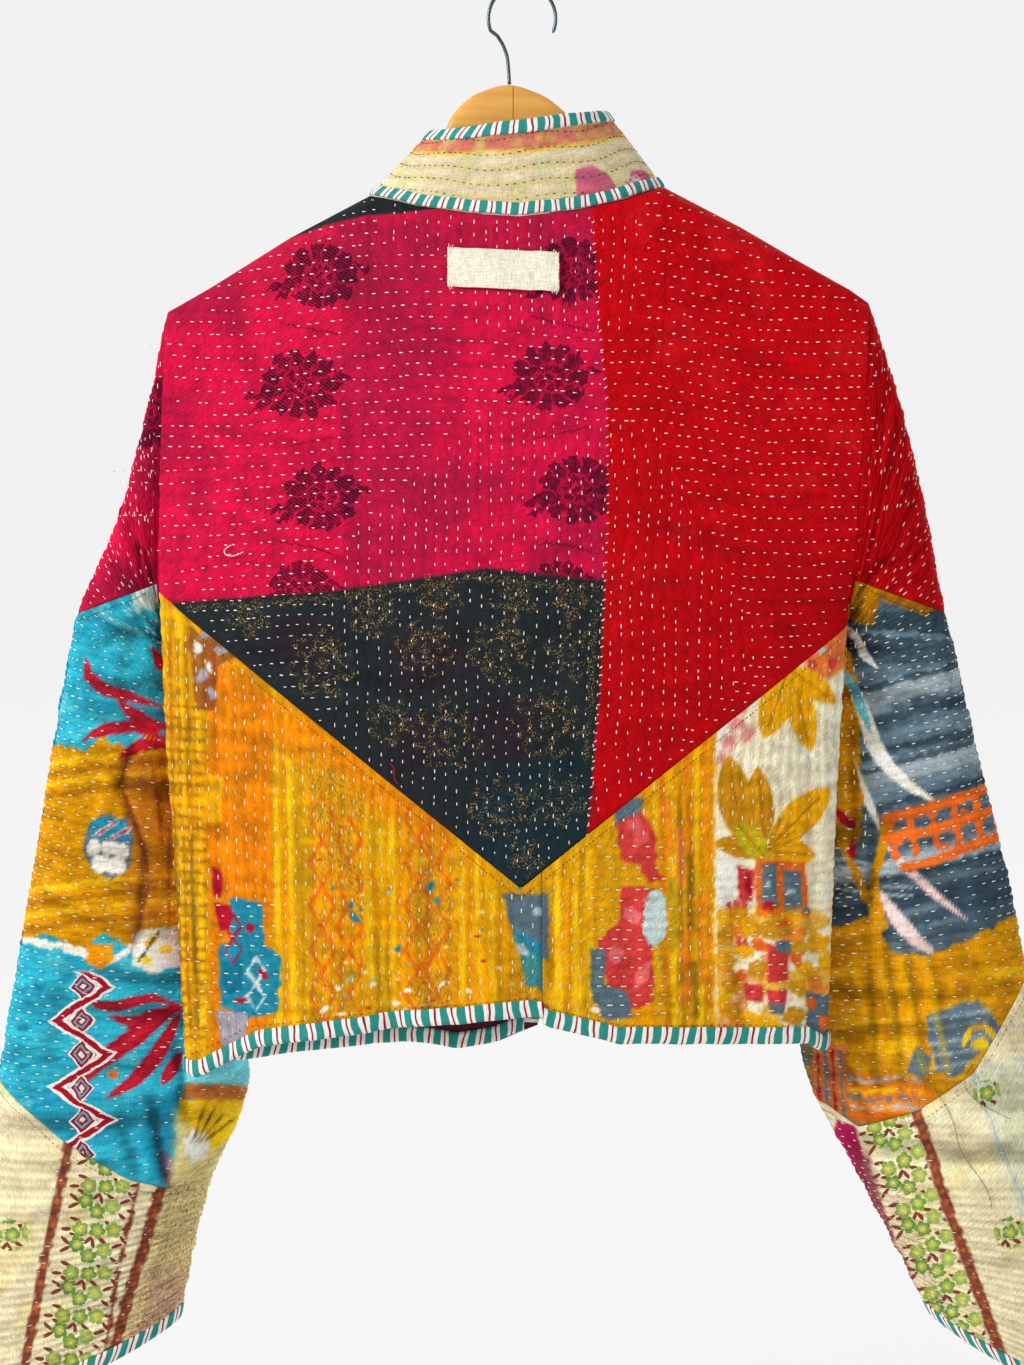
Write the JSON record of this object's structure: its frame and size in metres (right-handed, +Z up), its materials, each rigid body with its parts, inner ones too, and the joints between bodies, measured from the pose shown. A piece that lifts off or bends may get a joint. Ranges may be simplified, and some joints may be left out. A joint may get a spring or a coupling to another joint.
{
  "type": "kantha jacket on hanger",
  "caption": "Short quilted patchwork kantha jacket with a stand collar, full-length wide sleeves and a bound edge all round, hanging on a wooden hanger.",
  "frame": {"origin": "inside top of the hanger's wire hook, where it sits on whatever holds it up", "axes": "+Z up, +Y out of the jacket's back (the side that the picture shows), +X towards the wearer's left sleeve"},
  "size_m": [0.8563, 0.1185, 1.0085],
  "materials": {
    "back_yoke": "matte",
    "back_lower_left": "matte",
    "back_lower_right": "matte",
    "front_left": "matte",
    "front_right": "matte",
    "sleeve_left_upper": "matte",
    "sleeve_left_middle": "matte",
    "sleeve_right_upper": "matte",
    "sleeve_right_middle": "matte",
    "sleeve_lower": "matte",
    "collar": "matte",
    "binding": "matte",
    "label": "matte",
    "hanger_wood": "satin",
    "hanger_hook": "satin"
  },
  "bodies": {
    "root": {"back_yoke": "back_yoke", "back_lower_left": "back_lower_left", "back_lower_right": "back_lower_right", "front_left": "front_left", "front_right": "front_right", "sleeve_left_upper": "sleeve_left_upper", "sleeve_left_middle": "sleeve_left_middle", "sleeve_left_lower": "sleeve_lower", "sleeve_right_upper": "sleeve_right_upper", "sleeve_right_middle": "sleeve_right_middle", "sleeve_right_lower": "sleeve_lower", "collar": "collar", "collar_top_binding": "binding", "collar_seam_binding": "binding", "hem_binding_back_left": "binding", "hem_binding_back_right": "binding", "hem_binding_front_left": "binding", "hem_binding_front_right": "binding", "front_edge_binding_left": "binding", "front_edge_binding_right": "binding", "cuff_binding_left": "binding", "cuff_binding_right": "binding", "label": "label", "hanger_wood": "hanger_wood", "hanger_hook": "hanger_hook"}
  },
  "joints": []
}
